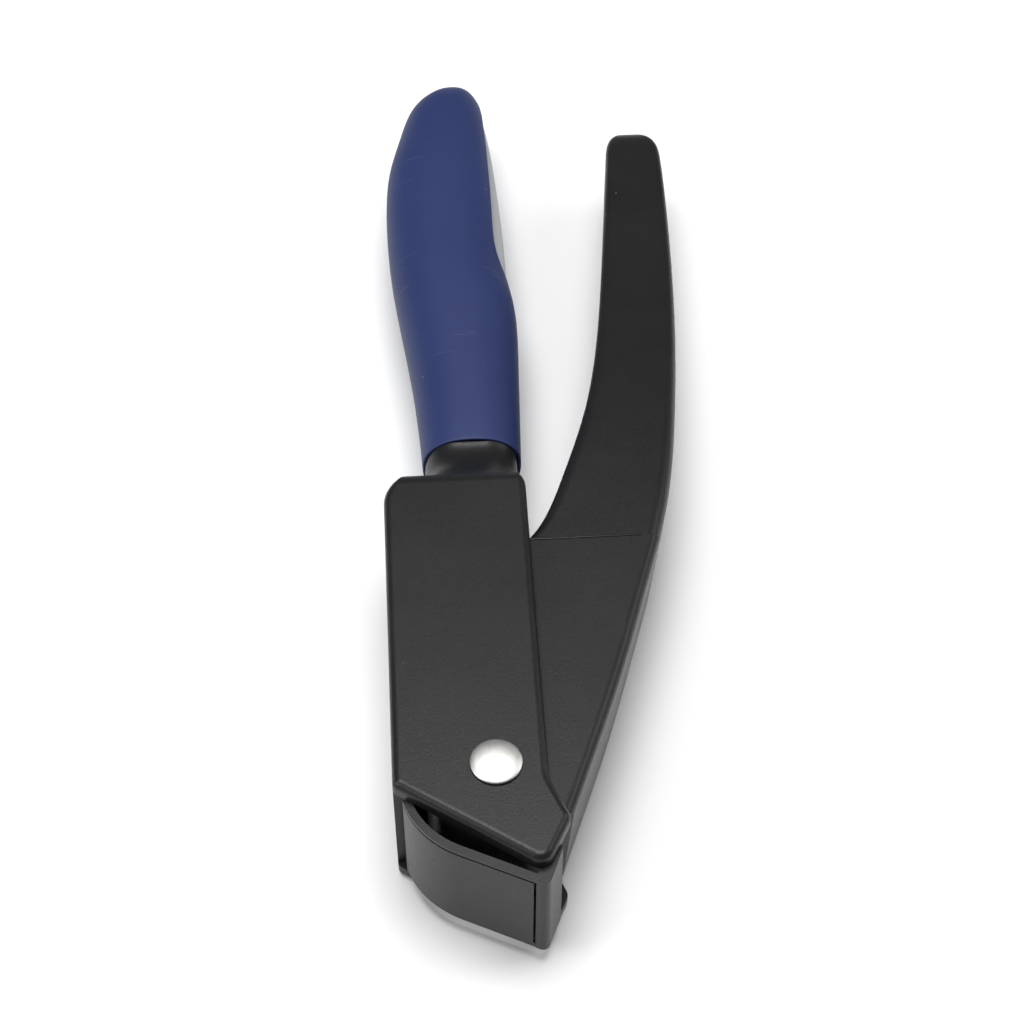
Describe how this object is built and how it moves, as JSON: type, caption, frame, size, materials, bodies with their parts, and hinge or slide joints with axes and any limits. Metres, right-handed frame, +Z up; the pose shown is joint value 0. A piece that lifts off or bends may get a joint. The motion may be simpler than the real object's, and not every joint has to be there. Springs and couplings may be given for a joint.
{
  "type": "garlic press",
  "caption": "Black nylon hinged garlic press with a soft blue grip, a plain lever handle, a front nose and a domed steel rivet.",
  "frame": {"origin": "where the rivet's axis meets the plane of the lower cheek, on which the press lies", "axes": "+X to the open side of the trough, +Y back along the handles, +Z up through the two cheeks"},
  "size_m": [0.0788, 0.2675, 0.0397],
  "materials": {
    "black_nylon": "fine-grained satin moulding",
    "blue_grip": "soft-touch matte",
    "grey_core": "smooth satin",
    "stainless": "plain stamped",
    "polished_rivet": "polished dome"
  },
  "bodies": {
    "frame": {"trough_frame": "black_nylon", "front_nose": "black_nylon", "nose_panel": "black_nylon", "sieve_plate": "stainless", "grip_core": "grey_core", "grip_shell_upper": "blue_grip", "grip_shell_lower": "blue_grip", "rivet_post": "stainless", "rivet_cap": "polished_rivet"},
    "lever": {"lever_arm": "black_nylon", "presser_block": "black_nylon", "lever_grip": "black_nylon"}
  },
  "joints": [
    {"name": "lever_hinge", "type": "hinge", "parent": "frame", "child": "lever", "pos_m": [0, 0, 0.019], "axis": [0, 0, -1], "range_deg": [-3.8, 65]}
  ]
}
